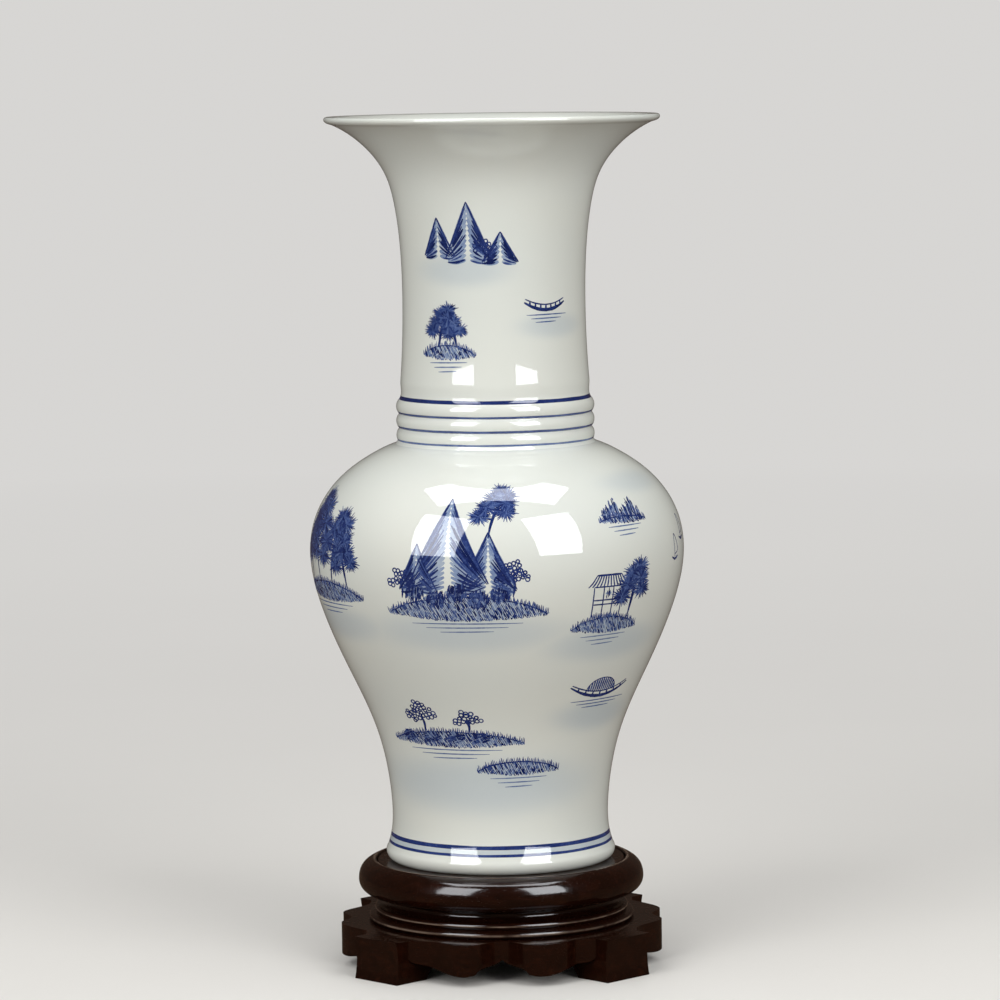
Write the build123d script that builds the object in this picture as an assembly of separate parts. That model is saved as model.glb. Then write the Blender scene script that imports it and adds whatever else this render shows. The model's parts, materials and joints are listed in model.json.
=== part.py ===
from build123d import *
import os

# Porcelain baluster vase on a low turned wooden stand.
# Millimetres. +Z up, origin on the table under the middle of the stand, front of the stand towards -Y.

# --- driving dimensions: heights above the table ---------------------------------------------------
plinth_top = 21.0          # tops of the legs and aprons
board_top = 28.4           # top of the beaded board
waist_top = 34.6           # underside of the cushion ring
seat_ledge = 45.0          # ledge in the cushion ring that holds the seat panel
seat_top = 51.0            # face that the vase stands on
collar_bottom = 262.4      # lowest groove of the vase's collar
collar_top = 284.0         # highest groove of the vase's collar
lip_centre = 423.8         # centre of the rounded lip's section

# --- driving dimensions: stand ---------------------------------------------------------------------
ring_radius = 72.0         # cushion ring at its widest
ring_widest = 41.5         # height of that widest line
seat_radius = 62.8         # seat panel
seat_rebate = 63.0         # rebate that it drops into
stand_bore = 40.0          # opening through the middle of the rings, hidden under the seat
waist_radius = 57.5        # hollow of the waist
lower_bead = 67.0          # outermost radius of the board's lower bead
upper_bead = 64.0          # outermost radius of the board's upper bead
tongue_inner = 51.5        # round tongue that centres the waist between its neighbours
tongue_outer = 54.5
tongue_height = 2.0
fit_gap = 0.1              # clearance on each glued face of a joint

leg_reach = 88.4           # axis of the stand to a leg's outer face, along the diagonal
leg_width = 29.7
leg_root = 48.8            # innermost face of a leg, under the board
foot_inner = 68.0          # inner end of a leg's sole
leg_hollow = 1.3           # depth of the slight hollow down a leg's outer face

apron_dip = 70.0           # plan of the front and rear aprons: middle, lobe tips
apron_lobe = 81.0
lobe_offset = 17.0
side_dip = 76.0            # the same for the side aprons, which are notched less
side_lobe = 80.5
side_offset = 12.0
apron_end = 67.3           # all aprons: ends, back face
apron_back = 56.0
apron_drop = 6.0           # height of an apron's lowest edge
joint_width = 5.0          # tongue that joins an apron to a leg
joint_depth = 4.0
joint_bottom = 9.5

dowel_radius = 3.0
dowel_reach = 58.0         # dowel position along the diagonal
dowel_bottom = 12.0
dowel_top = 25.6
screw_reach = 46.0         # screw position from the axis
screw_radius = 1.9
screw_head = 3.8
screw_head_height = 2.2
screw_tip = 42.0

# --- driving dimensions: vase ----------------------------------------------------------------------
wall = 4.5
lip_radius = 1.4           # half the thickness of the rounded lip
lip_reach = 82.5           # axis to the centre of the lip's section
groove_radius = 48.2       # collar grooves
bulge_radius = 49.7        # collar rings between them
collar_rings = 3
foot_outer = 53.6          # flat contact ring under the foot
foot_inner_edge = 48.4
foot_recess = 4.5          # depth of the hollow under the base
floor_thickness = 6.0
flat_floor = 38.0          # radius of the flat middle of the inside floor


def turned(edges):
    """Solid of revolution about Z from a closed outline of (radius, height) edges."""
    return revolve(Plane.XZ * make_face(edges), Axis.Z)


def polar_copies(shape, count):
    """The same shape turned about Z to evenly spaced places."""
    return [Rot(0, 0, 360 / count * i) * shape for i in range(count)]


def lip_point(x, z):
    """Point on the rounded lip's section in the direction (x, z) from its centre."""
    length = (x * x + z * z) ** 0.5
    return (lip_reach + lip_radius * x / length, lip_centre + lip_radius * z / length)


def inside_of(curve, heights):
    """Points one wall thickness inside an outer profile curve that runs downwards, from these heights."""
    points = []
    for height in heights:
        low, high = 0.0, 1.0
        for _ in range(30):
            middle = (low + high) / 2
            if curve.position_at(middle).Y > height:
                low = middle
            else:
                high = middle
        place = curve.position_at(low)
        along = curve.tangent_at(low)
        points.append((place.X + wall * along.Y, place.Y - wall * along.X))
    return points


def vase():
    """One fired shell: trumpet mouth, slim neck, ringed collar, round shoulder and spreading foot."""
    lip_under = lip_point(0.62, -0.79)
    lip_over = lip_point(-0.62, 0.79)
    neck = Spline(
        lip_under, (64.2, 410.6), (53.7, 396.5), (49.1, 380.5), (46.4, 356.6), (45.8, 328.0),
        (46.6, 304.0), (groove_radius, collar_top),
    )
    body = Spline(
        (groove_radius, collar_bottom), (54.2, 260.4), (62.6, 256.2), (79.0, 244.1), (91.5, 224.0),
        (93.9, 208.5), (88.2, 179.4), (76.3, 151.0), (61.9, 118.4), (55.0, 85.7), (54.4, 73.0),
        (55.9, 61.5), (57.7, 56.8),
    )
    pitch = (collar_top - collar_bottom) / collar_rings
    collar = []
    for i in range(collar_rings):
        high = collar_top - i * pitch
        collar.append(ThreePointArc((groove_radius, high), (bulge_radius, high - pitch / 2),
                                    (groove_radius, high - pitch)))
    floor = seat_top + foot_recess + floor_thickness
    floor_bend = (50.0, floor + 11.0)
    inside = [lip_over]
    inside += inside_of(neck, (417, 408, 397, 383, 365, 335, 300))
    inside += [(groove_radius - wall, (collar_top + collar_bottom) / 2)]
    inside += inside_of(body, (256, 246, 230, 208, 180, 150, 120, 95))
    inside += [floor_bend]
    return turned([
        neck,
        *collar,
        body,
        ThreePointArc((57.7, 56.8), (56.8, 52.9), (foot_outer, seat_top)),
        Line((foot_outer, seat_top), (foot_inner_edge, seat_top)),
        ThreePointArc((foot_inner_edge, seat_top), (47.2, 52.2), (46.6, seat_top + foot_recess)),
        Line((46.6, seat_top + foot_recess), (0.0, seat_top + foot_recess)),
        Line((0.0, seat_top + foot_recess), (0.0, floor)),
        Line((0.0, floor), (flat_floor, floor)),
        ThreePointArc((flat_floor, floor), (46.6, floor + 3.2), floor_bend),
        Spline(*inside),
        ThreePointArc(lip_over, lip_point(0.79, 0.62), lip_under),
    ])


def round_groove(low, high):
    """Ring-shaped pocket for a waist tongue, between two heights."""
    outer = Cylinder(tongue_outer + fit_gap, high - low, align=(Align.CENTER, Align.CENTER, Align.MIN))
    inner = Cylinder(tongue_inner - fit_gap, high - low, align=(Align.CENTER, Align.CENTER, Align.MIN))
    return Pos(0, 0, low) * (outer - inner)


def upright(radius, low, high):
    """Cylinder on a vertical axis between two heights."""
    return Pos(0, 0, low) * Cylinder(radius, high - low, align=(Align.CENTER, Align.CENTER, Align.MIN))


def screw_places(shape):
    """One copy of the shape at each of the four screw places."""
    return polar_copies(Pos(screw_reach, 0, 0) * shape, 4)


def top_ring():
    """Cushion-moulded ring with a crest round its rebate."""
    ring = turned([
        Line((stand_bore, waist_top), (66.4, waist_top)),
        ThreePointArc((66.4, waist_top), (70.6, 37.2), (ring_radius, ring_widest)),
        Spline((ring_radius, ring_widest), (70.3, 47.6), (65.2, 51.2),
               tangents=[(0.0, 1.0), (-1.0, 0.35)]),
        ThreePointArc((65.2, 51.2), (64.0, 51.6), (seat_rebate, 50.9)),
        Line((seat_rebate, 50.9), (seat_rebate, seat_ledge)),
        Line((seat_rebate, seat_ledge), (stand_bore, seat_ledge)),
        Line((stand_bore, seat_ledge), (stand_bore, waist_top)),
    ])
    ring -= round_groove(waist_top, waist_top + tongue_height + fit_gap)
    for pilot in screw_places(upright(screw_radius + fit_gap, waist_top, screw_tip + 0.5)):
        ring -= pilot
    return ring


def seat_panel():
    """Thin disc in the ring's rebate, with a bevelled edge."""
    bevel = 0.8
    return turned([
        Line((0.0, seat_ledge), (seat_radius, seat_ledge)),
        Line((seat_radius, seat_ledge), (seat_radius, seat_top - bevel)),
        Line((seat_radius, seat_top - bevel), (seat_radius - bevel, seat_top)),
        Line((seat_radius - bevel, seat_top), (0.0, seat_top)),
        Line((0.0, seat_top), (0.0, seat_ledge)),
    ])


def waist_ring():
    """Hollow-moulded ring between the cushion ring and the board, with a tongue on each face."""
    waist = turned([
        Line((stand_bore, board_top), (60.5, board_top)),
        ThreePointArc((60.5, board_top), (waist_radius, 31.6), (60.0, waist_top)),
        Line((60.0, waist_top), (tongue_outer, waist_top)),
        Line((tongue_outer, waist_top), (tongue_outer, waist_top + tongue_height)),
        Line((tongue_outer, waist_top + tongue_height), (tongue_inner, waist_top + tongue_height)),
        Line((tongue_inner, waist_top + tongue_height), (tongue_inner, waist_top)),
        Line((tongue_inner, waist_top), (stand_bore, waist_top)),
        Line((stand_bore, waist_top), (stand_bore, board_top)),
    ])
    tongue = turned([
        Line((tongue_inner, board_top - tongue_height), (tongue_outer, board_top - tongue_height)),
        Line((tongue_outer, board_top - tongue_height), (tongue_outer, board_top)),
        Line((tongue_outer, board_top), (tongue_inner, board_top)),
        Line((tongue_inner, board_top), (tongue_inner, board_top - tongue_height)),
    ])
    waist += tongue
    for hole in screw_places(upright(screw_radius + 2 * fit_gap, board_top, waist_top)):
        waist -= hole
    return waist


def bead_board():
    """Round board with two half-round beads on its edge and a small step between them."""
    board = turned([
        Line((stand_bore, plinth_top), (65.2, plinth_top)),
        ThreePointArc((65.2, plinth_top), (lower_bead, 22.8), (65.4, 24.5)),
        Line((65.4, 24.5), (62.9, 25.1)),
        ThreePointArc((62.9, 25.1), (upper_bead, 26.8), (62.6, board_top)),
        Line((62.6, board_top), (stand_bore, board_top)),
        Line((stand_bore, board_top), (stand_bore, plinth_top)),
    ])
    board -= round_groove(board_top - tongue_height - fit_gap, board_top)
    shank = upright(screw_radius + 2 * fit_gap, plinth_top, board_top)
    head = upright(screw_head + 2 * fit_gap, plinth_top, plinth_top + 0.5)
    sink = Pos(0, 0, plinth_top + 0.5) * Cone(
        screw_head + 2 * fit_gap, screw_radius + 2 * fit_gap, screw_head_height,
        align=(Align.CENTER, Align.CENTER, Align.MIN))
    for hole in screw_places(shank + head + sink):
        board -= hole
    for hole in on_diagonals(Pos(dowel_reach, 0, 0) * upright(dowel_radius + fit_gap, plinth_top,
                                                              dowel_top + fit_gap)):
        board -= hole
    return board


def on_diagonals(shape):
    """One copy of the shape on each of the four diagonals, starting at the front left."""
    return [Rot(0, 0, angle) * shape for angle in (225, 315, 45, 135)]


def apron_tongues(gap, low, high):
    """Both tongues of the front apron, grown by a gap, between two heights."""
    tongues = []
    for side in (-1, 1):
        middle = ((40.5 - 0.5 * fit_gap) * side, -61.5, low)
        bar = Box(2 * (joint_depth + gap), joint_width + 2 * gap, high - low,
                  align=(Align.CENTER, Align.CENTER, Align.MIN))
        tongues.append(Pos(*middle) * Rot(0, 0, 45 * side) * bar)
    return tongues


def leg():
    """Leg on the +X axis: flat sole, slightly hollow outer face, root reaching under the board."""
    middle = plinth_top / 2
    side_view = make_face([
        Line((foot_inner, 0), (leg_reach, 0)),
        ThreePointArc((leg_reach, 0), (leg_reach - leg_hollow, middle), (leg_reach, plinth_top)),
        Line((leg_reach, plinth_top), (leg_root, plinth_top)),
        Line((leg_root, plinth_top), (leg_root, 11.0)),
        ThreePointArc((leg_root, 11.0), (61.5, 7.6), (foot_inner, 0)),
    ])
    block = extrude(Plane.XZ * side_view, leg_width / 2, both=True)
    block -= Pos(dowel_reach, 0, 0) * upright(dowel_radius + fit_gap, dowel_bottom - fit_gap, plinth_top)
    return block


def legs():
    """The four legs by name, each with a groove in either side for its aprons."""
    names = ("leg_front_left", "leg_front_right", "leg_rear_right", "leg_rear_left")
    grooves = []
    for turn in range(4):
        for groove in apron_tongues(fit_gap, joint_bottom - fit_gap, plinth_top):
            grooves.append(Rot(0, 0, 90 * turn) * groove)
    made = {}
    for name, piece in zip(names, on_diagonals(leg())):
        for groove in grooves:
            piece -= groove
        made[name] = piece
    return made


def apron(dip, lobe, offset):
    """Apron in front: double-lobed in plan, with a scalloped lower edge and a tongue at each end."""
    right_half = [(offset, -lobe), (36.0, -apron_end - 0.6), (46.2, -apron_end)]
    left_half = [(-x, y) for x, y in reversed(right_half)]
    plan = make_face([
        Spline(*left_half, (0, -dip), *right_half, tangents=[(1.0, 0.0), (1.0, 0.0)]),
        Line((46.2, -apron_end), (34.9, -apron_back)),
        Line((34.9, -apron_back), (-34.9, -apron_back)),
        Line((-34.9, -apron_back), (-46.2, -apron_end)),
    ])
    lower = [
        Spline((-47.0, 13.5), (-38.0, 9.0), (-27.0, apron_drop), (-13.0, apron_drop + 0.2),
               tangents=[(0.3, -1.0), (1.0, 0.25)]),
        Spline((-13.0, apron_drop + 0.2), (-6.0, 9.2), (0.0, 12.0), tangents=[(0.4, 1.0), (0.7, 1.0)]),
        Spline((0.0, 12.0), (6.0, 9.2), (13.0, apron_drop + 0.2), tangents=[(0.7, -1.0), (0.4, -1.0)]),
        Spline((13.0, apron_drop + 0.2), (27.0, apron_drop), (38.0, 9.0), (47.0, 13.5),
               tangents=[(1.0, -0.25), (0.3, 1.0)]),
    ]
    front_view = make_face(lower + [
        Line((47.0, 13.5), (47.0, plinth_top)),
        Line((47.0, plinth_top), (-47.0, plinth_top)),
        Line((-47.0, plinth_top), (-47.0, 13.5)),
    ])
    piece = extrude(plan, plinth_top) & extrude(Plane.XZ * front_view, 100)
    for tongue in apron_tongues(0, joint_bottom, plinth_top):
        piece += tongue
    return piece


def aprons():
    """The four aprons by name."""
    deep = apron(apron_dip, apron_lobe, lobe_offset)
    shallow = apron(side_dip, side_lobe, side_offset)
    return {
        "apron_front": deep,
        "apron_right": Rot(0, 0, 90) * shallow,
        "apron_rear": Rot(0, 0, 180) * deep,
        "apron_left": Rot(0, 0, 270) * shallow,
    }


def leg_dowels():
    """Four round dowels, each holding a leg to the board."""
    return Compound(children=on_diagonals(Pos(dowel_reach, 0, 0) * upright(dowel_radius, dowel_bottom,
                                                                            dowel_top)))


def stand_screws():
    """Four countersunk screws, driven from below, that pull board, waist and cushion ring together."""
    head_bottom = plinth_top + 0.3
    shank = upright(screw_radius, head_bottom, screw_tip - 3)
    tip = Pos(0, 0, screw_tip - 3) * Cone(screw_radius, 0.3, 3,
                                          align=(Align.CENTER, Align.CENTER, Align.MIN))
    head = upright(screw_head, head_bottom, plinth_top + 0.5)
    taper = Pos(0, 0, plinth_top + 0.5) * Cone(screw_head, screw_radius, screw_head_height,
                                               align=(Align.CENTER, Align.CENTER, Align.MIN))
    slot = Pos(0, 0, head_bottom) * Box(5.0, 0.9, 2.2)
    screw = shank + tip + head + taper - slot - Rot(0, 0, 90) * slot
    return Compound(children=screw_places(screw))


pieces = {
    "vase": vase(),
    "top_ring": top_ring(),
    "seat_panel": seat_panel(),
    "waist_ring": waist_ring(),
    "bead_board": bead_board(),
    "leg_dowels": leg_dowels(),
    "stand_screws": stand_screws(),
}
pieces.update(legs())
pieces.update(aprons())

os.makedirs("parts", exist_ok=True)
for name, piece in pieces.items():
    export_step(piece, "parts/" + name + ".step")
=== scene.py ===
import json
import math
import random

import bpy
import numpy as np
from mathutils import Euler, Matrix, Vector


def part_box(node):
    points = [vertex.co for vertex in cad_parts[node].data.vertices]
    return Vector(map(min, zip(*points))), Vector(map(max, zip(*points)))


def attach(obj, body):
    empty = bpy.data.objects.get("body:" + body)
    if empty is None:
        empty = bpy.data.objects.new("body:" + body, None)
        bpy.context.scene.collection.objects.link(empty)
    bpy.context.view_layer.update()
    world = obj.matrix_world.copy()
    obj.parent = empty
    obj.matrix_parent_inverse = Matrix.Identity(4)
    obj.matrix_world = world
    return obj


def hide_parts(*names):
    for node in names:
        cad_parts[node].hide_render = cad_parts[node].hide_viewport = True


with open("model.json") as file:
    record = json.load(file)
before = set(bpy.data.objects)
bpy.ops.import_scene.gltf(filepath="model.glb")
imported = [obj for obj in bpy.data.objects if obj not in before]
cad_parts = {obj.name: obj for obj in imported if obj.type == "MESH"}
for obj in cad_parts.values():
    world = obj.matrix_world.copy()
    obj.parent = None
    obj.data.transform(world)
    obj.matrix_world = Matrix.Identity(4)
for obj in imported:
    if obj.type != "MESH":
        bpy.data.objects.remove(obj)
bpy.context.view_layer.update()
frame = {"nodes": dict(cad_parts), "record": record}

MM = 0.001
SEED = 11

# ---- the vase's profile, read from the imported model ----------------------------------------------


def wall_points(node):
    """(height, radius) points, in mm, of a turned node's outward-facing and inward-facing faces."""
    mesh = frame["nodes"][node].data
    co = np.empty(len(mesh.vertices) * 3)
    mesh.vertices.foreach_get("co", co)
    co = co.reshape(-1, 3) / MM
    corners = np.empty(len(mesh.polygons) * 3, int)
    mesh.polygons.foreach_get("vertices", corners)
    corners = corners.reshape(-1, 3)
    a, b, c = co[corners[:, 0]], co[corners[:, 1]], co[corners[:, 2]]
    normal = np.cross(b - a, c - a)
    normal /= np.maximum(np.linalg.norm(normal, axis=1, keepdims=True), 1e-12)
    middle = (a + b + c) / 3
    reach = np.maximum(np.hypot(middle[:, 0], middle[:, 1]), 1e-9)
    facing = (normal[:, 0] * middle[:, 0] + normal[:, 1] * middle[:, 1]) / reach
    sides = []
    for chosen in (facing > 0.03, facing < -0.03):
        picked = co[np.unique(corners[chosen])]
        points = np.column_stack([picked[:, 2], np.hypot(picked[:, 0], picked[:, 1])])
        sides.append(points[np.argsort(points[:, 0])])
    return sides


def thinned(points, gap):
    """The same curve with points at least a gap apart; both ends are kept."""
    kept = [points[0]]
    for point in points[1:-1]:
        if np.hypot(*(point - kept[-1])) >= gap and np.hypot(*(point - points[-1])) >= gap:
            kept.append(point)
    kept.append(points[-1])
    return np.array(kept)


def resampled(points, step):
    """Smooth curve through the points, with samples every step: (length along it, height, radius)."""
    length = np.concatenate([[0], np.cumsum(np.hypot(*np.diff(points, axis=0).T))])
    slope = np.gradient(points, length, axis=0)
    at = np.linspace(0, length[-1], int(length[-1] / step) + 1)
    left = np.clip(np.searchsorted(length, at, side="right") - 1, 0, len(length) - 2)
    span = (length[left + 1] - length[left])[:, None]
    t = (at - length[left])[:, None] / span
    p0, p1 = points[left], points[left + 1]
    m0, m1 = slope[left] * span, slope[left + 1] * span
    curve = ((2 * t**3 - 3 * t**2 + 1) * p0 + (t**3 - 2 * t**2 + t) * m0
             + (3 * t**2 - 2 * t**3) * p1 + (t**3 - t**2) * m1)
    return np.column_stack([at, curve])


outer_points, inner_points = wall_points("vase")
vase_low, vase_high = (corner.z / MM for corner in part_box("vase"))
recess_points = inner_points[inner_points[:, 0] < vase_low + 8]
cavity_points = inner_points[inner_points[:, 0] > vase_low + 10]
FINE = 0.1
profile = resampled(thinned(outer_points, 0.5), FINE)      # from the foot up over the lip
profile_s, profile_z, profile_r = profile.T
profile_nz = -np.gradient(profile_r, profile_s)
profile_nr = np.gradient(profile_z, profile_s)


def length_at(height):
    """Length along the outer profile, from the foot, at a height above the table."""
    return float(np.interp(height, profile_z, profile_s))


def on_vase(angle, length, lift):
    """Points and normals on the outer glaze: angle in radians right of the front, lengths in mm."""
    r = np.interp(length, profile_s, profile_r)
    z = np.interp(length, profile_s, profile_z)
    nr = np.interp(length, profile_s, profile_nr)
    nz = np.interp(length, profile_s, profile_nz)
    size = np.hypot(nr, nz)
    nr, nz = nr / size, nz / size
    out = r + lift * nr
    points = np.column_stack([out * np.sin(angle), -out * np.cos(angle), z + lift * nz]) * MM
    normals = np.column_stack([nr * np.sin(angle), -nr * np.cos(angle), nz])
    return points, normals


def smooth(points, closed=False, per_span=4):
    """Catmull-Rom curve through the points."""
    p = np.asarray(points, float)
    if len(p) < 3:
        return p
    if closed:
        p = np.vstack([p[-1], p, p[:2]])
    else:
        p = np.vstack([2 * p[0] - p[1], p, 2 * p[-1] - p[-2]])
    t = np.arange(per_span)[:, None] / per_span
    spans = []
    for a, b, c, d in zip(p[:-3], p[1:-2], p[2:-1], p[3:]):
        spans.append(0.5 * (2 * b + (c - a) * t + (2 * a - 5 * b + 4 * c - d) * t**2
                            + (3 * b - a - 3 * c + d) * t**3))
    if not closed:
        spans.append(p[-2:-1])
    return np.vstack(spans)


# ---- washes: pale blue areas under the glaze ------------------------------------------------------

# soft spots of wash: (angle, height, half width, half height, tone); degrees and mm
WASHES = [
    (-20, 350, 30, 8, 0.13), (40, 322, 24, 6, 0.12), (-10, 176, 32, 10, 0.14), (40, 168, 24, 9, 0.14),
    (-62, 176, 22, 8, 0.13), (46, 130, 22, 8, 0.15), (-10, 96, 60, 15, 0.16), (60, 245, 18, 5, 0.10),
]


def wash_at(angle, height):
    """Amount of pale wash at points on the vase; angle in radians, height in mm."""
    total = np.zeros_like(height)
    around = np.degrees(angle)
    for turn, way in ((0, 1), (180, -1)):
        for centre, level, wide, high, tone in WASHES:
            apart = (around - turn - way * centre + 180) % 360 - 180
            distance = (apart / wide) ** 2 + ((height - level) / high) ** 2
            total = np.maximum(total, tone * np.exp(-distance**1.8))
    return total


# ---- mesh helpers --------------------------------------------------------------------------------


def make_object(name, points, faces, material, smooth=True):
    """Mesh object from numpy points (metres) and index faces."""
    mesh = bpy.data.meshes.new(name)
    mesh.from_pydata(points.tolist(), [], faces.tolist() if hasattr(faces, "tolist") else faces)
    mesh.update()
    if smooth:
        mesh.polygons.foreach_set("use_smooth", np.ones(len(mesh.polygons), bool))
    mesh.materials.append(material)
    piece = bpy.data.objects.new(name, mesh)
    bpy.context.scene.collection.objects.link(piece)
    return piece


def set_tone(piece, values, name="tone"):
    """Per-vertex amount for the piece's material."""
    layer = piece.data.attributes.new(name, "FLOAT", "POINT")
    layer.data.foreach_set("value", np.asarray(values, np.float32))


def ring_faces(rows, columns, closed_rows=False):
    """Quads joining a grid of rows by columns, wrapped round its columns."""
    row_pairs = rows if closed_rows else rows - 1
    i, j = np.meshgrid(np.arange(row_pairs), np.arange(columns), indexing="ij")
    up = (i + 1) % rows
    right = (j + 1) % columns
    return np.stack([i * columns + j, i * columns + right, up * columns + right, up * columns + j],
                    axis=-1).reshape(-1, 4)


# ---- materials -----------------------------------------------------------------------------------


class Nodes:
    """Short calls for building a material's nodes."""

    def __init__(self, name):
        self.material = bpy.data.materials.new(name)
        self.material.use_nodes = True
        self.tree = self.material.node_tree
        self.shader = self.tree.nodes["Principled BSDF"]

    def add(self, kind, **inputs):
        node = self.tree.nodes.new(kind)
        for key, value in inputs.items():
            self.put(node, key, value)
        return node

    def put(self, node, key, value):
        """Sets a property, or an input by its name with _ for spaces; sockets are linked."""
        if hasattr(node, key) and key not in ("color",):
            setattr(node, key, value)
            return
        socket = node.inputs[key.replace("_", " ")] if isinstance(key, str) else node.inputs[key]
        if isinstance(value, bpy.types.NodeSocket):
            self.tree.links.new(value, socket)
        else:
            socket.default_value = value

    def math(self, operation, a, b=0.0, clamp=False):
        node = self.tree.nodes.new("ShaderNodeMath")
        node.operation = operation
        node.use_clamp = clamp
        for socket, value in zip(node.inputs, (a, b)):
            if isinstance(value, bpy.types.NodeSocket):
                self.tree.links.new(value, socket)
            else:
                socket.default_value = value
        return node.outputs[0]

    def noise(self, vector, scale, detail=3.0, roughness=0.5, distortion=0.0):
        node = self.add("ShaderNodeTexNoise", Scale=scale, Detail=detail, Roughness=roughness,
                        Distortion=distortion)
        self.tree.links.new(vector, node.inputs["Vector"])
        return node.outputs["Fac"]

    def place(self, scale=(1, 1, 1), rotation=(0, 0, 0)):
        """Object coordinates, scaled and turned."""
        where = self.tree.nodes.new("ShaderNodeTexCoord").outputs["Object"]
        mapping = self.tree.nodes.new("ShaderNodeMapping")
        mapping.inputs["Scale"].default_value = scale
        mapping.inputs["Rotation"].default_value = rotation
        self.tree.links.new(where, mapping.inputs["Vector"])
        return mapping.outputs["Vector"]

    def ramp(self, value, stops):
        """Colour ramp from (position, colour) stops."""
        node = self.tree.nodes.new("ShaderNodeValToRGB")
        band = node.color_ramp
        while len(band.elements) < len(stops):
            band.elements.new(1.0)
        for element, (position, colour) in zip(band.elements, stops):
            element.position = position
            element.color = (*colour, 1)
        self.tree.links.new(value, node.inputs["Fac"])
        return node.outputs["Color"]

    def mix(self, factor, a, b, blend="MIX"):
        node = self.tree.nodes.new("ShaderNodeMix")
        node.data_type = "RGBA"
        node.blend_type = blend
        for socket, value in zip((node.inputs[0], node.inputs[6], node.inputs[7]), (factor, a, b)):
            if isinstance(value, bpy.types.NodeSocket):
                self.tree.links.new(value, socket)
            else:
                socket.default_value = value if isinstance(value, float) else (*value, 1)
        return node.outputs[2]

    def bump(self, height, strength, distance):
        node = self.add("ShaderNodeBump", Strength=strength, Distance=distance)
        self.tree.links.new(height, node.inputs["Height"])
        self.tree.links.new(node.outputs["Normal"], self.shader.inputs["Normal"])

    def attribute(self, name):
        node = self.tree.nodes.new("ShaderNodeAttribute")
        node.attribute_name = name
        return node.outputs["Fac"]


BACKDROP = (0.68, 0.67, 0.655)
REFLECTED_ROOM = (0.060, 0.042, 0.032)
# turned edges of the stand that get a pale line in their colour: partly rubbed lacquer, partly a painted
# highlight along their crests
RUBBED_AND_HIGHLIT_EDGES = [(64.1, 51.7, 0.9), (66.9, 22.9, 0.7), (63.9, 26.9, 0.5)]     # (radius, height, width), mm
GLAZE_WHITE = (0.81, 0.825, 0.765)
GLAZE_COOL = (0.74, 0.79, 0.77)


def glaze_material():
    """Clear glaze over white porcelain; the tone attribute is the amount of cobalt under it."""
    n = Nodes("glaze_over_cobalt")
    where = n.place()
    cloud = n.noise(where, 14.0, 2.0)
    grain = n.noise(where, 900.0, 3.0, 0.6)
    patchy = n.noise(where, 220.0, 4.0, 0.65)
    tone = n.attribute("tone")
    unevenness = n.math("MULTIPLY", n.math("SUBTRACT", n.math("ADD", grain, patchy), 1.0), 0.5)
    density = n.math("MINIMUM", n.math("MULTIPLY", n.math("MULTIPLY", tone, tone), 1.4), 0.5)
    strength = n.math("MULTIPLY", density, unevenness)
    amount = n.math("ADD", tone, strength, clamp=True)
    body = n.mix(cloud, GLAZE_WHITE, GLAZE_COOL)
    cobalt = n.ramp(amount, [
        (0.0, (1.0, 1.0, 1.0)), (0.18, (0.73, 0.785, 0.87)), (0.40, (0.33, 0.42, 0.67)),
        (0.65, (0.085, 0.14, 0.40)), (0.82, (0.026, 0.050, 0.23)), (1.0, (0.009, 0.019, 0.115)),
    ])
    colour = n.mix(1.0, body, cobalt, "MULTIPLY")
    bare = n.attribute("bare")
    n.put(n.shader, "Base_Color", n.mix(bare, colour, (0.62, 0.55, 0.45)))
    n.put(n.shader, "Roughness", n.math("ADD", n.math("MULTIPLY", bare, 0.7),
                                        n.math("MULTIPLY", patchy, 0.06)))
    n.put(n.shader, "IOR", 1.55)
    n.bump(n.noise(where, 38.0, 1.0), 0.25, 0.0002)
    return n.material


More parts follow.
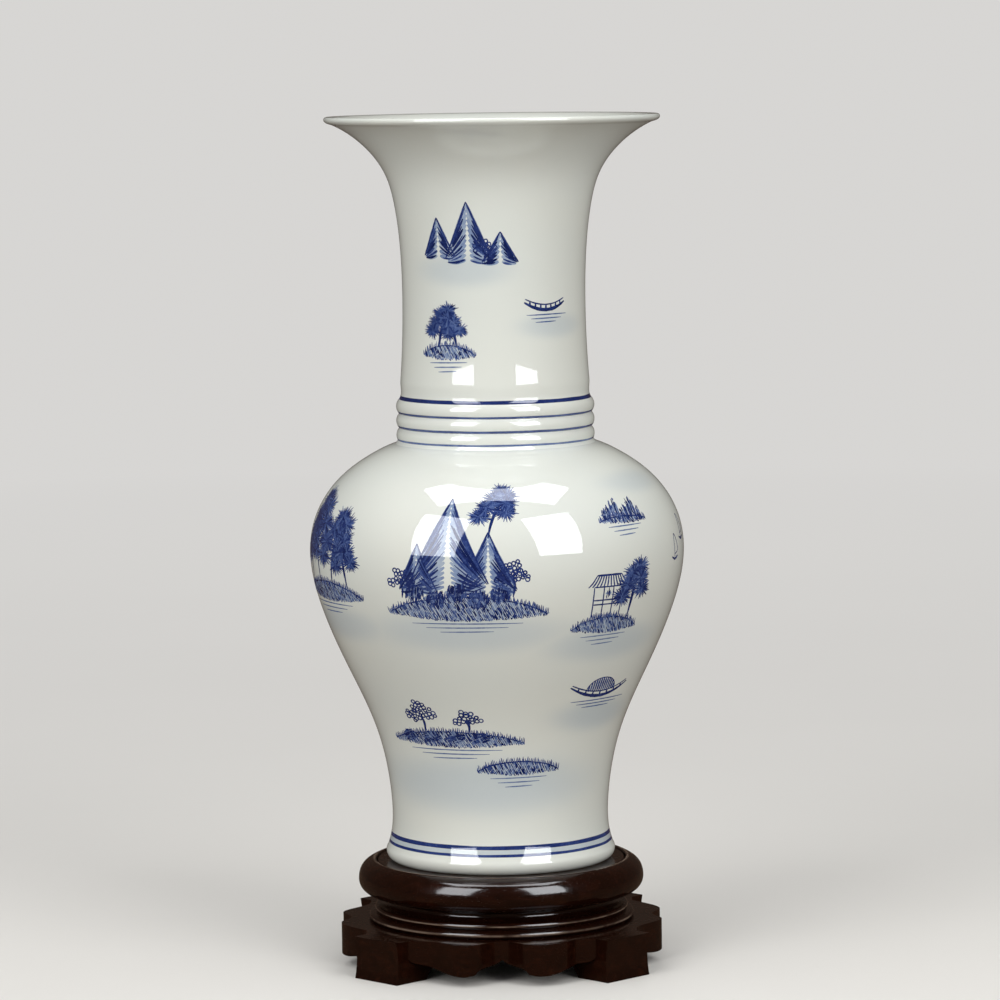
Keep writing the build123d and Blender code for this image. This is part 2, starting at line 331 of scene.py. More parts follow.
def wood_material():
    """Dark red-brown stained wood under gloss lacquer, with open pores, and a pale line on the turned edges
    that is partly rubbed lacquer and partly a painted highlight.
    """
    n = Nodes("lacquered_dark_wood")
    where = n.place()
    figure = n.noise(n.place(scale=(1, 5, 5)), 45.0, 5.0, 0.6, 1.2)
    pores = n.noise(n.place(scale=(0.12, 1, 1)), 2600.0, 2.0, 0.5)
    colour = n.ramp(figure, [(0.25, (0.0060, 0.0017, 0.0008)), (0.55, (0.0130, 0.0033, 0.0014)),
                             (0.8, (0.0270, 0.0065, 0.0026))])
    open_pores = n.ramp(pores, [(0.30, (0, 0, 0)), (0.37, (1, 1, 1))])
    tint = n.mix(open_pores, (0.4, 0.35, 0.35), (1.0, 1.0, 1.0))
    stained = n.mix(1.0, colour, tint, "MULTIPLY")
    split = n.tree.nodes.new("ShaderNodeSeparateXYZ")
    n.tree.links.new(where, split.inputs[0])
    flat = n.math("ADD", n.math("MULTIPLY", split.outputs[0], split.outputs[0]),
                  n.math("MULTIPLY", split.outputs[1], split.outputs[1]))
    reach = n.math("MULTIPLY", n.math("SQRT", flat), 1000.0)
    level = n.math("MULTIPLY", split.outputs[2], 1000.0)
    # nearness to each turned edge, where the pale line is laid: partly rubbed lacquer, partly a painted
    # highlight
    edge_nearness = 0.0
    for edge_radius, edge_level, edge_width in RUBBED_AND_HIGHLIT_EDGES:
        aside = n.math("SUBTRACT", reach, edge_radius)
        above = n.math("SUBTRACT", level, edge_level)
        squares = n.math("ADD", n.math("MULTIPLY", aside, aside), n.math("MULTIPLY", above, above))
        away = n.math("SQRT", squares)
        near = n.math("SUBTRACT", 1.0, n.math("DIVIDE", away, edge_width), clamp=True)
        edge_nearness = n.math("MAXIMUM", edge_nearness, near)
    rubbed_highlight_patches = n.ramp(n.noise(where, 60.0, 4.0, 0.6), [(0.36, (0.12, 0.12, 0.12)), (0.62, (1, 1, 1))])
    rubbed_and_highlit = n.math("MULTIPLY", edge_nearness, rubbed_highlight_patches, clamp=True)
    # pale brown mixed into the stain along the edges: a painted highlight line, broken into patches like
    # rubbed lacquer
    n.put(n.shader, "Base_Color", n.mix(rubbed_and_highlit, stained, (0.26, 0.19, 0.145)))
    closed = n.math("MULTIPLY", open_pores, -0.16)
    n.put(n.shader, "Roughness", n.math("ADD", n.math("MULTIPLY", figure, 0.08), n.math("ADD", 0.24, closed)))
    n.put(n.shader, "IOR", 1.5)
    swell = n.noise(where, 70.0, 2.0)
    n.bump(n.math("ADD", n.math("MULTIPLY", open_pores, 0.06), swell), 0.22, 0.0006)
    return n.material


def dowel_material():
    """Bare turned hardwood."""
    n = Nodes("bare_hardwood")
    grain = n.noise(n.place(scale=(1, 1, 0.15)), 300.0, 4.0)
    n.put(n.shader, "Base_Color", n.ramp(grain, [(0.3, (0.36, 0.22, 0.11)), (0.7, (0.56, 0.38, 0.2))]))
    n.put(n.shader, "Roughness", 0.6)
    n.bump(grain, 0.2, 0.0002)
    return n.material


def steel_material():
    """Zinc-plated screw steel."""
    n = Nodes("plated_steel")
    wear = n.noise(n.place(), 500.0, 4.0)
    n.put(n.shader, "Base_Color", n.ramp(wear, [(0.3, (0.42, 0.41, 0.38)), (0.7, (0.62, 0.61, 0.57))]))
    n.put(n.shader, "Metallic", 1.0)
    n.put(n.shader, "Roughness", n.math("ADD", 0.25, n.math("MULTIPLY", wear, 0.2)))
    n.bump(wear, 0.1, 0.0001)
    return n.material


def floor_material():
    """Plain pale matt floor that passes into the backdrop far away; other rays find it darker."""
    n = Nodes("pale_floor")
    where = n.place()
    mottle = n.noise(where, 3.0, 4.0)
    pale = n.mix(mottle, (0.76, 0.75, 0.73), (0.80, 0.79, 0.77))
    path = n.tree.nodes.new("ShaderNodeLightPath")
    dim = n.mix(path.outputs["Is Glossy Ray"], (0.36, 0.33, 0.30), (0.10, 0.065, 0.045))
    n.put(n.shader, "Base_Color", n.mix(path.outputs["Is Camera Ray"], dim, pale))
    n.put(n.shader, "Roughness", 0.9)
    n.put(n.shader, "Specular_IOR_Level", 0.0)
    reach = n.tree.nodes.new("ShaderNodeVectorMath")
    reach.operation = "LENGTH"
    n.tree.links.new(where, reach.inputs[0])
    far = n.math("DIVIDE", n.math("SUBTRACT", reach.outputs["Value"], 0.3), 2.4, clamp=True)
    glow = n.tree.nodes.new("ShaderNodeEmission")
    n.tree.links.new(n.mix(path.outputs["Is Camera Ray"], REFLECTED_ROOM, BACKDROP), glow.inputs["Color"])
    blend = n.tree.nodes.new("ShaderNodeMixShader")
    n.tree.links.new(n.math("POWER", far, 0.7), blend.inputs[0])
    n.tree.links.new(n.shader.outputs[0], blend.inputs[1])
    n.tree.links.new(glow.outputs[0], blend.inputs[2])
    n.tree.links.new(blend.outputs[0], n.tree.nodes["Material Output"].inputs["Surface"])
    return n.material


glaze = glaze_material()
dark_wood = wood_material()

# ---- the glazed vase -----------------------------------------------------------------------------

COLUMNS = 384


def vase_shell():
    """One closed porcelain wall: outer face and lip, cavity, and the recessed foot."""
    bend = np.abs(np.gradient(np.unwrap(np.arctan2(profile_nz, profile_nr)), profile_s))
    density = np.minimum(1 / 1.4 + 3.0 * bend, 4.0)
    spread = np.concatenate([[0], np.cumsum((density[1:] + density[:-1]) / 2 * np.diff(profile_s))])
    rows_s = np.interp(np.linspace(0, spread[-1], int(spread[-1]) + 1), spread, profile_s)
    outer = np.column_stack([np.interp(rows_s, profile_s, profile_z),
                             np.interp(rows_s, profile_s, profile_r)])
    cavity = resampled(thinned(cavity_points, 1.0), 2.5)[::-1, 1:]
    cavity = cavity[cavity[:, 0] < outer[-1, 0] - 0.3]
    recess = thinned(recess_points, 0.5)[::-1]
    floor_edge = cavity[-1]
    inside_floor = [(floor_edge[0], floor_edge[1] * share) for share in (0.66, 0.33, 0.02)]
    recess_floor = [(recess[0][0], recess[0][1] * share) for share in (0.02, 0.33, 0.66)]
    section = np.vstack([outer, cavity, inside_floor, recess_floor, recess])
    angle = np.arange(COLUMNS) * 2 * math.pi / COLUMNS
    r, z = section[:, 1], section[:, 0]
    points = np.stack([np.outer(r, np.sin(angle)), -np.outer(r, np.cos(angle)),
                       np.repeat(z[:, None], COLUMNS, 1)], axis=-1).reshape(-1, 3) * MM
    piece = make_object("glazed_vase", points, ring_faces(len(section), COLUMNS, True), glaze)
    tone = np.zeros((len(section), COLUMNS))
    tone[:len(outer)] = wash_at(angle[None, :] + 0 * outer[:, :1], outer[:, :1] + 0 * angle[None, :])
    set_tone(piece, tone.ravel())
    bare = np.zeros((len(section), COLUMNS))
    bare[z < vase_low + 0.35] = 1.0
    set_tone(piece, bare.ravel(), "bare")
    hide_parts("vase")
    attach(piece, "vase")
    return piece


vase_shell()

# ---- brush marks ---------------------------------------------------------------------------------


def evenly(points, count):
    """The same curve as count points at equal distances along it."""
    p = smooth(points)
    length = np.concatenate([[0], np.cumsum(np.hypot(*np.diff(p, axis=0).T))])
    at = np.linspace(0, length[-1], count)
    return np.column_stack([np.interp(at, length, p[:, 0]), np.interp(at, length, p[:, 1])])


def crossings(outline, level):
    """Sorted u at which a closed outline of (u, v) points crosses v = level."""
    u0, v0 = outline.T
    u1, v1 = np.roll(u0, -1), np.roll(v0, -1)
    cut = (v0 > level) != (v1 > level)
    return np.sort(u0[cut] + (level - v0[cut]) / (v1[cut] - v0[cut]) * (u1[cut] - u0[cut]))


class Painting:
    """Brush marks round one place on the vase; x runs right and y up along the wall, both in mm."""

    def __init__(self, name, angle, height, flip=1, size=1.0):
        self.name = name
        self.angle = math.radians(angle)
        self.length = length_at(height)
        self.radius = float(np.interp(self.length, profile_s, profile_r))
        self.flip = flip
        self.size = size
        self.rng = random.Random(f"{SEED} {name}")
        self.points, self.normals, self.tones, self.faces = [], [], [], []
        self.corners = 0
        self.marks = 0

    def add_tube(self, left, right, tone, looped=False, under=False):
        """One thin closed mark: a strip between two edges, sunk a little into the glaze."""
        count = len(left)
        lift = (0.012 if under else 0.03) + (0.01 if under else 0.03) * (self.marks % 41) / 41
        self.marks += 1
        edges = np.vstack([left, right, right, left]) * self.size
        lifts = np.repeat([lift, lift, -0.1, -0.1], count)
        around = self.angle + self.flip * edges[:, 0] / self.radius
        points, normals = on_vase(around, self.length + edges[:, 1], lifts)
        ends = count if looped else count - 1
        i = np.arange(ends)
        j = (i + 1) % count
        faces = [np.column_stack([a * count + i, a * count + j, b * count + j, b * count + i])
                 for a, b in ((0, 1), (1, 2), (2, 3), (3, 0))]
        if not looped:
            last = count - 1
            faces.append(np.array([[0, count, 2 * count, 3 * count],
                                   [3 * count + last, 2 * count + last, count + last, last]]))
        faces = np.vstack(faces)
        if self.flip > 0:
            faces = faces[:, ::-1]
        self.faces.append(faces + self.corners)
        self.corners += 4 * count
        self.points.append(points)
        self.normals.append(normals)
        self.tones.append(np.tile(np.broadcast_to(tone, (count,)), 4))

    def stroke(self, path, width, tone, ends=(0.35, 0.35), fade=0.15, under=False):
        """Brush stroke; ends are the shares of its length over which it thins out."""
        path = np.asarray(path, float)
        length = np.hypot(*np.diff(path, axis=0).T).sum()
        if length < 0.3:
            return
        p = evenly(path, max(4, int(length / 1.3) + 2))
        t = np.linspace(0, 1, len(p))
        direction = np.gradient(p, axis=0)
        direction /= np.maximum(np.hypot(*direction.T), 1e-9)[:, None]
        side = np.column_stack([-direction[:, 1], direction[:, 0]])
        body = np.minimum(1, np.minimum((t + 0.06) / (ends[0] + 0.06), (1.06 - t) / (ends[1] + 0.06)))
        wander = 1 + 0.12 * np.array([self.rng.uniform(-1, 1) for _ in t])
        half = (width / 2 * np.sqrt(body) * wander)[:, None]
        tone_along = tone * (1 - fade * np.array([self.rng.random() for _ in t]))
        self.add_tube(p + side * half, p - side * half, tone_along, under=under)

    def line(self, path, width=0.6, tone=0.9):
        """Drawn line of nearly even width."""
        self.stroke(path, width, tone, (0.08, 0.08), 0.1)

    def pick(self, pair):
        return self.rng.uniform(*pair)

    def flow(self, one, other, count, width=0.9, tones=(0.7, 1.0), ragged=0.2):
        """Strokes running along and between two guide curves."""
        a, b = evenly(one, 9), evenly(other, 9)
        apart = np.hypot(*(a - b).T).mean()
        for share in (np.arange(int(apart / 1.3)) + 0.5) / max(1, int(apart / 1.3)):
            ground = (a * (1 - share) + b * share)[:8]
            self.stroke(ground, 1.9, tones[0] * self.pick((0.45, 0.7)), (0.15, 0.5), under=True)
        for k in range(count):
            share = (k + self.rng.uniform(0.25, 0.75)) / count
            path = a * (1 - share) + b * share
            start = self.rng.random() * ragged * 0.5
            stop = 1 - self.rng.random() * ragged
            at = np.linspace(start, stop, 9) * 8
            path = np.column_stack([np.interp(at, np.arange(9), path[:, c]) for c in (0, 1)])
            self.stroke(path, width * self.pick((0.65, 1.3)), self.pick(tones), (0.25, 0.5))

    def mass(self, outline, lean, gap=0.75, width=0.95, tones=(0.6, 1.0), run=6.0, rough=1.9, bow=0.4):
        """Fills an outline with rough strokes that lean at an angle, over a paler ground."""
        turn = math.radians(lean)
        along = np.array([math.cos(turn), math.sin(turn)])
        across = np.array([-along[1], along[0]])
        shape = smooth(outline, closed=True)
        flat = np.column_stack([shape @ along, shape @ across])
        for level in np.arange(flat[:, 1].min() + 0.6, flat[:, 1].max(), 1.5):
            cuts = crossings(flat, level)
            for start, end in zip(cuts[::2], cuts[1::2]):
                ends = [along * (start + 0.5) + across * level, along * (end - 0.5) + across * level]
                self.stroke(ends, 2.0, tones[0] * self.pick((0.5, 0.72)), (0.1, 0.1), under=True)
        for level in np.arange(flat[:, 1].min() + gap / 2, flat[:, 1].max(), gap):
            cuts = crossings(flat, level)
            for start, end in zip(cuts[::2], cuts[1::2]):
                u = start - self.rng.random() * rough
                while u < end:
                    stop = min(u + run * self.pick((0.5, 1.3)), end + self.rng.random() * rough)
                    middle = level + self.pick((-bow, bow))
                    path = [along * u + across * level, along * (u + stop) / 2 + across * middle,
                            along * stop + across * level]
                    self.stroke(path, width * self.pick((0.6, 1.3)), self.pick(tones))
                    u = stop - 0.3 + max(0.0, self.pick((-0.6, 0.7)))

    def fringe(self, path, reach=2.0, gap=0.9, lean=90, width=0.4, tone=0.9, spread=15):
        """Short strokes standing on a curve at an angle above the horizontal."""
        p = smooth(path)
        length = np.hypot(*np.diff(p, axis=0).T).sum()
        for x, y in evenly(path, max(2, int(length / gap))):
            turn = math.radians(lean + self.pick((-spread, spread)))
            size = reach * self.pick((0.6, 1.2))
            tip = (x + size * math.cos(turn), y + size * math.sin(turn))
            thick = width * self.pick((0.8, 1.3))
            self.stroke([(x, y), tip], thick, tone * self.pick((0.8, 1.0)), (0.1, 0.7))

    def tuft(self, x, y, reach=4.0, wide=1.0, tone=0.93):
        """Round head of pine needles over a darker middle."""
        self.blob(x, y, 0.56 * wide * reach, 0.52 * reach, tone * 0.7)
        count = int(14 + 6 * reach)
        for k in range(count):
            turn = 2 * math.pi * (k + self.rng.random()) / count
            near, far = self.pick((0.05, 0.35)) * reach, reach * self.pick((0.8, 1.25))
            ends = [(x + wide * r * math.cos(turn), y + r * math.sin(turn)) for r in (near, far)]
            self.stroke(ends, 0.66, tone * self.pick((0.68, 1.15)), (0.1, 0.5))

    def blob(self, x, y, wide, high, tone=0.9):
        """Small filled dab with an uneven edge."""
        turn = np.linspace(0, 2 * math.pi, 13)[:-1]
        edge = 1 + 0.12 * np.array([self.rng.uniform(-1, 1) for _ in turn])
        rim = np.column_stack([x + wide * edge * np.cos(turn), y + high * edge * np.sin(turn)])
        core = np.array([x, y]) + (rim - [x, y]) * 0.02
        self.add_tube(core, rim, tone, looped=True)

    def ring(self, x, y, radius, width=0.5, tone=0.9, squeeze=1.0):
        """Small drawn circle."""
        turn = np.linspace(0, 2 * math.pi, 11)[:-1]
        circle = np.column_stack([np.cos(turn), squeeze * np.sin(turn)])
        self.add_tube([x, y] + circle * (radius - width / 2), [x, y] + circle * (radius + width / 2), tone,
                      looped=True)

    def rings(self, outline, pitch=1.85, tone=0.92):
        """Leaves drawn as a cluster of little circles filling an outline."""
        shape = smooth(outline, closed=True)
        low, high = shape.min(axis=0), shape.max(axis=0)
        for row, y in enumerate(np.arange(low[1], high[1], pitch * 0.86)):
            cuts = crossings(shape, y)
            for start, end in zip(cuts[::2], cuts[1::2]):
                for x in np.arange(start + pitch * self.pick((0.0, 0.6)), end + 0.3, pitch):
                    level = y + 0.35 * pitch * math.sin(0.9 * x + row) + self.pick((-0.2, 0.2))
                    self.ring(x + self.pick((-0.2, 0.2)), level, pitch * self.pick((0.38, 0.52)),
                              pitch * self.pick((0.27, 0.36)), tone * self.pick((0.85, 1.0)))

    def finish(self):
        """Makes the marks one piece, lying on the glaze and lit like it."""
        points = np.vstack(self.points)
        normals = np.vstack(self.normals)
        piece = make_object(self.name, points, np.vstack(self.faces), glaze)
        piece.data.normals_split_custom_set_from_vertices(normals.tolist())
        around = np.arctan2(points[:, 0], -points[:, 1])
        tone = np.concatenate(self.tones)
        set_tone(piece, np.maximum(tone, wash_at(around, points[:, 2] / MM)))
        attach(piece, "vase")
        return piece


# ---- motifs of the painted landscape, in mm from each motif's own place --------------------------

DARK = (0.74, 1.12)        # range of tones of the dark strokes


def oval(x, y, wide, high, count=10):
    """Points of an ellipse."""
    turns = np.arange(count) * 2 * math.pi / count
    return [(x + wide * math.cos(turn), y + high * math.sin(turn)) for turn in turns]


def clump(p, x, y, wide, high, lean=80, tones=DARK):
    """Rough-edged bush of slanting strokes."""
    p.mass(oval(x, y, wide, high), lean, 0.75, 0.9, tones, 4, 2.4)


def hill(p, x, wide, tall, y=0.0):
    """Hill whose furrows hang from its outline and fade towards a level foot."""
    for side in (-1, 1):
        crest = [(x, y + tall), (x + side * 0.4 * wide, y + 0.6 * tall), (x + side * wide, y + 0.06 * tall)]
        foot = [(x + side * 0.1 * wide, y), (x + side * 0.55 * wide, y - 0.03 * tall), (x + side * wide, y)]
        p.flow(crest, foot, max(5, int(wide / 1.1)), 1.0, DARK, 0.45)
        p.line(crest, 0.8)


def pine(p, x, y, tall, sway, heads=6):
    """Leaning trunk with heads of needles on side branches."""
    trunk = [(x + sway * t**1.5, y + tall * t) for t in (0, 0.25, 0.5, 0.75, 1)]
    p.stroke(trunk, 2.4, 0.95, (0.9, 0.3))
    for k in range(heads):
        t = 0.4 + 0.6 * k / (heads - 1)
        root = (x + sway * t**1.5, y + tall * t)
        side = 1 if k % 2 else -1
        tip = (root[0] + side * 0.36 * tall * (1.2 - t), root[1] + 1.5)
        p.line([root, tip], 0.9)
        p.tuft(tip[0], tip[1], 0.11 * tall + 2.0, 1.3)


def round_leaved_tree(p, x, y, tall):
    """Short trunk under three groups of round leaves."""
    p.stroke([(x, y), (x + 0.05 * tall, y + 0.3 * tall), (x, y + 0.6 * tall)], 1.6, 0.95, (0.8, 0.4))
    for aside, up, size in ((-0.25, 0.55, 0.26), (0.25, 0.6, 0.24), (0.0, 0.85, 0.26)):
        p.rings(oval(x + aside * tall, y + up * tall, size * tall, 0.7 * size * tall), 2.1)


def bank(p, wide, high, x=0.0, y=0.0):
    """Low bank: grass over a drawn edge, ribbed stone below it, water lines at its foot."""
    share = np.linspace(0, 1, 9)
    upper = [(x - wide + 2 * wide * t, y + high * math.sin(math.pi * t) ** 0.7) for t in share]
    lower = [(x + wide - 2 * wide * t, y - 0.35 * high * math.sin(math.pi * t)) for t in share[1:-1]]
    p.mass(upper + lower, -62, 0.85, 0.8, (0.45, 1.1), 3.5, 0.9)
    p.line(upper, 0.7)
    p.fringe(upper, 2.6, 0.9, 92, 0.55)
    for k in range(3):
        span = wide * (0.7 - 0.18 * k)
        level = y - 0.35 * high - 2.0 - 2.2 * k
        p.stroke([(x - span, level), (x + span, level + 0.5)], 0.6, 0.6, (0.3, 0.3))


def pavilion(p, wide=17.0, tall=9.0):
    """Open pavilion on posts in the water, with a tiled roof, a rail and one window."""
    half = wide / 2
    for k in range(4):
        x = -half + wide * k / 3
        p.line([(x, tall), (x, -0.8 * tall)], 0.7)
    for level in (0.0, 0.25 * tall, tall):
        p.line([(-half, level), (half, level)], 0.7)
    p.line([(-0.85 * half, 1.65 * tall), (0.85 * half, 1.65 * tall)], 1.0)
    for k in range(12):
        t = k / 11
        top, eave = -0.85 * half + 1.7 * half * t, -1.4 * half + 2.8 * half * t
        p.line([(top, 1.65 * tall), ((top + eave) / 2, 1.25 * tall), (eave, tall)], 0.75, 0.85)
    clump(p, 0, 0.62 * tall, 1.2, 1.6, 90)
    p.fringe([(-half, -0.8 * tall), (half, -0.8 * tall)], 3.0, 0.8, 92, 0.55)


def boat(p, length, awning=False):
    """Flat boat with a curved hull, planks, ripples and perhaps a ribbed awning."""
    half = length / 2
    gunwale = 2.6
    rise = 0.2 * length
    share = np.linspace(-1, 1, 9)
    p.stroke([(half * t, 0.16 * length * t**2) for t in share], 1.8, 0.95, (0.3, 0.3))
    p.line([(0.96 * half * t, gunwale + 0.12 * length * t**2) for t in share], 0.7)
    for k in range(7):
        t = -0.75 + 0.25 * k
        plank = [(half * t, gunwale + 0.12 * length * t**2), (half * t, 0.16 * length * t**2)]
        p.stroke(plank, 1.0, 0.9, (0.1, 0.1))
    if awning:
        for k in range(15):
            t = -1 + k / 7
            x = 0.5 * half * t
            rib = [(x, gunwale + 0.2), (x, gunwale + 0.4 + rise * math.sqrt(max(0.0, 1 - t**2)))]
            p.stroke(rib, 1.0, 0.8, (0.1, 0.1))
        turns = np.linspace(0, math.pi, 9)
        p.line([(0.5 * half * math.cos(a), gunwale + 0.2 + rise * math.sin(a)) for a in turns])
    for k in range(3):
        ripple = [(-half * (0.9 - 0.2 * k), -2.5 - 1.8 * k), (half * (1.1 - 0.3 * k), -2.2 - 1.8 * k)]
        p.stroke(ripple, 0.6, 0.65, (0.3, 0.3))


def mountains(p):
    """Three hills with a round-leaved tree at the foot."""
    for x, wide, tall, y in ((-14, 9, 20, 0), (2, 12, 30, -2), (18, 9, 16, -3)):
        hill(p, x, wide, tall, y)
    round_leaved_tree(p, 10, -2, 11)


def neck_grove(p):
    """Two pines on a small bank."""
    bank(p, 15, 5)
    pine(p, -5, 4, 17, 4)
    pine(p, 5, 4, 13, -4, 5)


def crag(p):
    """Tall crag with a pine leaning from it, bushes and round-leaved trees at its foot."""
    hill(p, -8, 20, 46, -4)
    hill(p, 12, 14, 30, -6)
    hill(p, -24, 10, 24, -6)
    pine(p, 12, 21, 24, 9, 7)
    for k in range(5):
        clump(p, -26 + 11 * k, -6 - (k % 2) * 3, 5, 3.6)
    round_leaved_tree(p, 24, -8, 17)
    round_leaved_tree(p, -33, -9, 14)
    bank(p, 42, 9, 0, -17)


def pavilion_shore(p):
    """Pavilion beside a bank with a pine."""
    pavilion(p)
    bank(p, 21, 6, 2, -13)
    pine(p, 15, -8, 24, 3, 6)


def far_shore(p):
    """Distant low island with pointed trees."""
    bank(p, 16, 2.4)
    for k in range(9):
        clump(p, -12 + 3 * k, 3.4 + (k * 5 % 4), 1.1, 2.4 + (k * 5 % 4), 88)


def sails(p):
    """Two far boats under a single bent sail."""
    for x, y in ((0, 0), (13, 9)):
        p.line([(x, y), (x, y + 12), (x + 5, y + 4), (x, y + 1.5)], 0.6, 0.85)
        p.stroke([(x - 4, y + 0.5), (x, y - 0.8), (x + 5, y + 0.5)], 1.3, 0.9)


def grove(p):
    """Stand of tall pines over a grassy bank."""
    bank(p, 32, 7)
    for k, (tall, sway) in enumerate(((30, 6), (42, -7), (34, 9), (24, -5))):
        pine(p, -21 + 14 * k, 5, tall, sway, 7)


def near_shore(p):
    """Long low shore with stones, bushes and round-leaved trees."""
    bank(p, 36, 6)
    bank(p, 22, 5, 34, -15)
    for k in range(4):
        clump(p, -24 + 13 * k, 3, 4.2, 2.6, 20)
    round_leaved_tree(p, -14, 5, 17)
    round_leaved_tree(p, 9, 5, 13)


def neck_boat(p):
    boat(p, 24)


def ferry(p):
    boat(p, 38, awning=True)


def paint(name, motif, angle, height, flip=1, size=1.0):
    """One finished piece of painting made by a motif at a place on the vase."""
    p = Painting(name, angle, height, flip, size)
    motif(p)
    return p.finish()


# each motif's name, function, angle in degrees right of the front, and height in mm above the table
SCENE = [
    ("mountains", mountains, -18, 356), ("neck_boat", neck_boat, 34, 330),
    ("neck_grove", neck_grove, -30, 308), ("crag", crag, -10, 202), ("pavilion", pavilion_shore, 36, 188),
    ("far_shore", far_shore, 44, 228), ("sails", sails, 70, 206), ("grove", grove, -66, 190),
    ("near_shore", near_shore, -22, 118), ("ferry", ferry, 44, 140),
]
for motif_name, motif, angle, height in SCENE:
    paint("painting_" + motif_name, motif, angle, height)
    paint("painting_back_" + motif_name, motif, 180 - angle, height, flip=-1, size=0.96)


def band(p, height, width, tone):
    """Brushed line right round the vase, with slightly uneven edges."""
    count = 360
    around = np.arange(count) * 2 * math.pi / count * p.radius
    swell = sum(0.04 * np.sin(k * around / p.radius + k * k) for k in (1, 2, 5, 9, 14))
    middle = length_at(height) - p.length + 0.5 * swell
    edges = middle[:, None] + width * np.linspace(-0.5, 0.5, 5) * (1 + 0.5 * swell[:, None])
    for low, high in zip(edges.T[:-1], edges.T[1:]):
        p.marks = 0
        p.add_tube(np.column_stack([around, high]), np.column_stack([around, low]),
                   tone * (0.93 + 0.5 * swell), looped=True)


# drawn lines right round the vase: (height, width, tone); mm
COLLAR_LINES = [(284.9, 2.1, 0.95), (277.5, 1.4, 0.78), (270.4, 1.5, 0.78), (263.6, 1.7, 0.65)]
FOOT_LINES = [(64.8, 2.0, 0.88), (61.0, 1.4, 0.85)]
BETWEEN_FOOT_LINES = (62.7, 2.0, 0.2)


def ring_lines(p):
    """Four lines on the collar, and two round the foot with a pale band between them."""
    for height, width, tone in COLLAR_LINES + FOOT_LINES + [BETWEEN_FOOT_LINES]:
        band(p, height, width, tone)


paint("painting_ring_lines", ring_lines, 0, 270)

# ---- the stand -----------------------------------------------------------------------------------


def dress(node, material):
    """Gives a carried-over CAD node its material."""
    piece = frame["nodes"][node]
    piece.data.materials.clear()
    piece.data.materials.append(material)


for subpart in frame["record"]["subparts"]:
    if subpart["material_slot"] == "dark_wood":
        dress(subpart["node"], dark_wood)
dress("leg_dowels", dowel_material())
dress("stand_screws", steel_material())

# ---- floor, light and camera ---------------------------------------------------------------------

FLOOR_RADIUS = 14.0


def make_floor():
    """Large pale disc under the object."""
    rings = [0.0, 0.5, 2.0, 6.0, FLOOR_RADIUS]
    points = [(0.0, 0.0, 0.0)]
    faces = []
    sides = 64
    for ring in rings[1:]:
        for k in range(sides):
            turn = 2 * math.pi * k / sides
            points.append((ring * math.cos(turn), ring * math.sin(turn), 0.0))
    for k in range(sides):
        faces.append((0, 1 + k, 1 + (k + 1) % sides))
    for ring in range(len(rings) - 2):
        start = 1 + ring * sides
        for k in range(sides):
            after = (k + 1) % sides
            faces.append((start + k, start + sides + k, start + sides + after, start + after))
    floor = make_object("floor", np.array(points), faces, floor_material(), smooth=False)


LEG_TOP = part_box("leg_front_left")[1].z
CARD_DARK_BELOW = LEG_TOP + 0.4 * MM


def card_material(name, glow):
    """Bright card, dark to rays that rise less than 50 degrees from the level tops of legs and aprons."""
    n = Nodes(name)
    seen = n.tree.nodes.new("ShaderNodeNewGeometry")
    path = n.tree.nodes.new("ShaderNodeLightPath")
    heights = []
    for socket in ("Position", "Incoming"):
        split = n.tree.nodes.new("ShaderNodeSeparateXYZ")
        n.tree.links.new(seen.outputs[socket], split.inputs[0])
        heights.append(split.outputs[2])
    start = n.math("ADD", heights[0], n.math("MULTIPLY", heights[1], path.outputs["Ray Length"]))
    from_foot = n.math("LESS_THAN", start, CARD_DARK_BELOW)
    lying = n.math("GREATER_THAN", heights[1], -math.sin(math.radians(50)))
    n.put(n.shader, "Base_Color", (0.0, 0.0, 0.0, 1.0))
    n.put(n.shader, "Emission_Color", (0.93, 0.96, 1.0, 1.0))
    dark = n.math("MULTIPLY", from_foot, lying)
    n.put(n.shader, "Emission_Strength", n.math("MULTIPLY", n.math("SUBTRACT", 1.0, dark), glow))
    return n.material


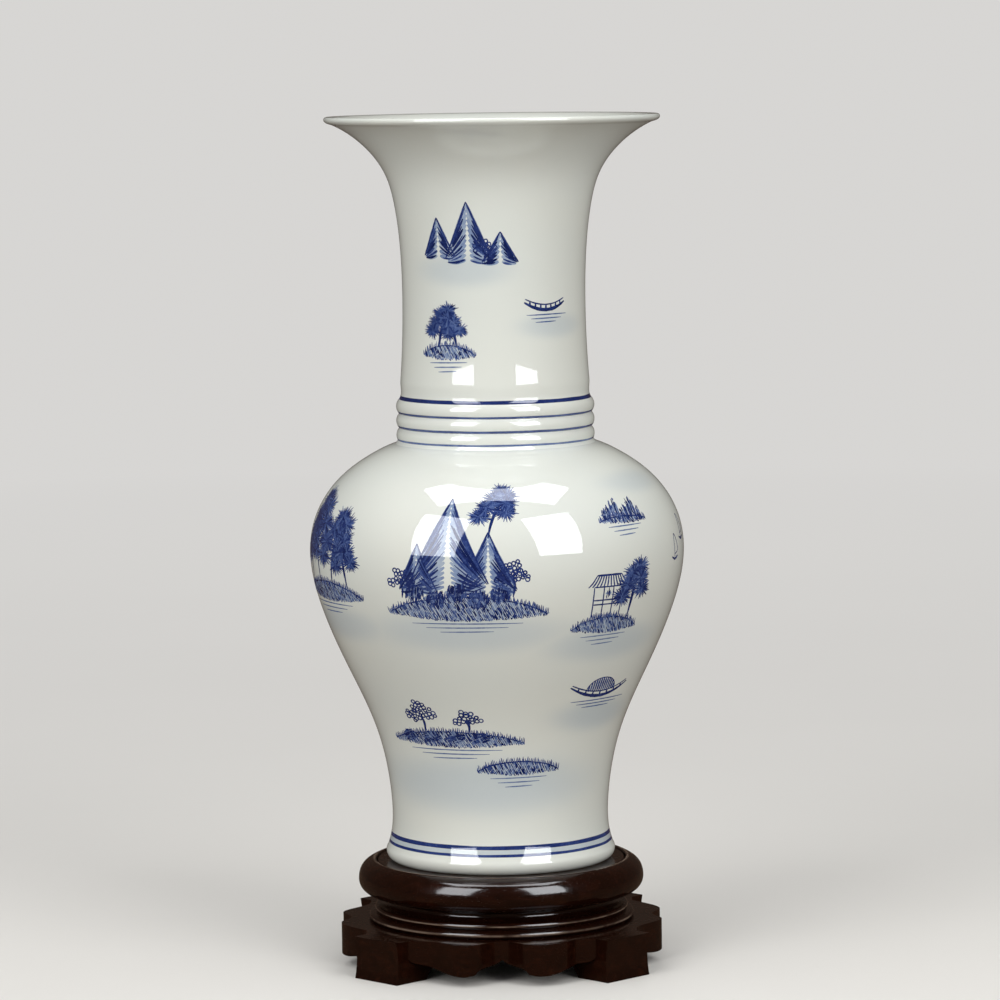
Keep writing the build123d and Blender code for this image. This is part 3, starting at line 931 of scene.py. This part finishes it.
def softbox(name, azimuth, elevation, distance, width, height, watts, glow=0.0):
    """Rectangular light aimed at the vase, with a card of its size that only shows in reflections."""
    light = bpy.data.lights.new(name, "AREA")
    light.shape = "RECTANGLE"
    light.size = width
    light.size_y = height
    light.energy = watts
    light.color = (1.0, 0.985, 0.955)
    lamp = bpy.data.objects.new(name, light)
    turn, rise = math.radians(azimuth), math.radians(elevation)
    away = Vector((math.sin(turn) * math.cos(rise), -math.cos(turn) * math.cos(rise), math.sin(rise)))
    lamp.location = Vector((0, 0, 0.22)) + away * distance
    lamp.rotation_euler = away.to_track_quat("Z", "Y").to_euler()
    lamp.visible_glossy = False
    lamp.visible_camera = False
    bpy.context.scene.collection.objects.link(lamp)
    if glow == 0:
        return
    shine = card_material(name + "_glow", glow)
    corners = [(x * width / 2, y * height / 2, 0) for x, y in ((-1, -1), (1, -1), (1, 1), (-1, 1))]
    card = make_object(name + "_card", np.array(corners), [(3, 2, 1, 0)], shine, smooth=False)
    card.location = lamp.location
    card.rotation_euler = lamp.rotation_euler
    card.visible_diffuse = False
    card.visible_camera = False
    card.visible_shadow = False
    card.visible_transmission = False


def make_world():
    """Even soft surroundings: pale to the camera, dim and warm in reflections."""
    world = bpy.data.worlds.new("studio")
    world.use_nodes = True
    tree = world.node_tree
    background = tree.nodes["Background"]
    path = tree.nodes.new("ShaderNodeLightPath")
    colour = (0.32, 0.32, 0.32)
    for ray, shade in (("Is Camera Ray", BACKDROP), ("Is Glossy Ray", REFLECTED_ROOM)):
        mix = tree.nodes.new("ShaderNodeMix")
        mix.data_type = "RGBA"
        tree.links.new(path.outputs[ray], mix.inputs[0])
        if isinstance(colour, tuple):
            mix.inputs[6].default_value = (*colour, 1)
        else:
            tree.links.new(colour, mix.inputs[6])
        mix.inputs[7].default_value = (*shade, 1)
        colour = mix.outputs[2]
    tree.links.new(colour, background.inputs["Color"])
    background.inputs["Strength"].default_value = 1.0
    bpy.context.scene.world = world


def make_camera():
    """Long lens a little above the rim, looking slightly down, rolled by under a degree."""
    lens = bpy.data.cameras.new("camera")
    lens.sensor_width = 36.0
    lens.lens = 169.2
    lens.clip_end = 60.0
    camera = bpy.data.objects.new("camera", lens)
    camera.location = (0.0018, -2.35, 0.464)
    look = Euler((math.radians(90 - 5.63), 0, 0)).to_matrix()
    roll = Euler((0, 0, math.radians(-0.72))).to_matrix()
    camera.rotation_euler = (look @ roll).to_euler()
    bpy.context.scene.collection.objects.link(camera)
    bpy.context.scene.camera = camera


make_floor()
softbox("softbox_left", -39, 27, 1.8, 0.93, 1.45, 17.0, 9.0)
softbox("softbox_right", 39, 27, 1.8, 0.93, 1.45, 16.0, 10.0)
softbox("softbox_top", 0, 84, 1.9, 2.0, 0.9, 8, 8.0)
softbox("fill_back", 180, 30, 2.6, 1.6, 1.6, 14)
make_world()
make_camera()
bpy.context.scene.view_settings.view_transform = "Standard"
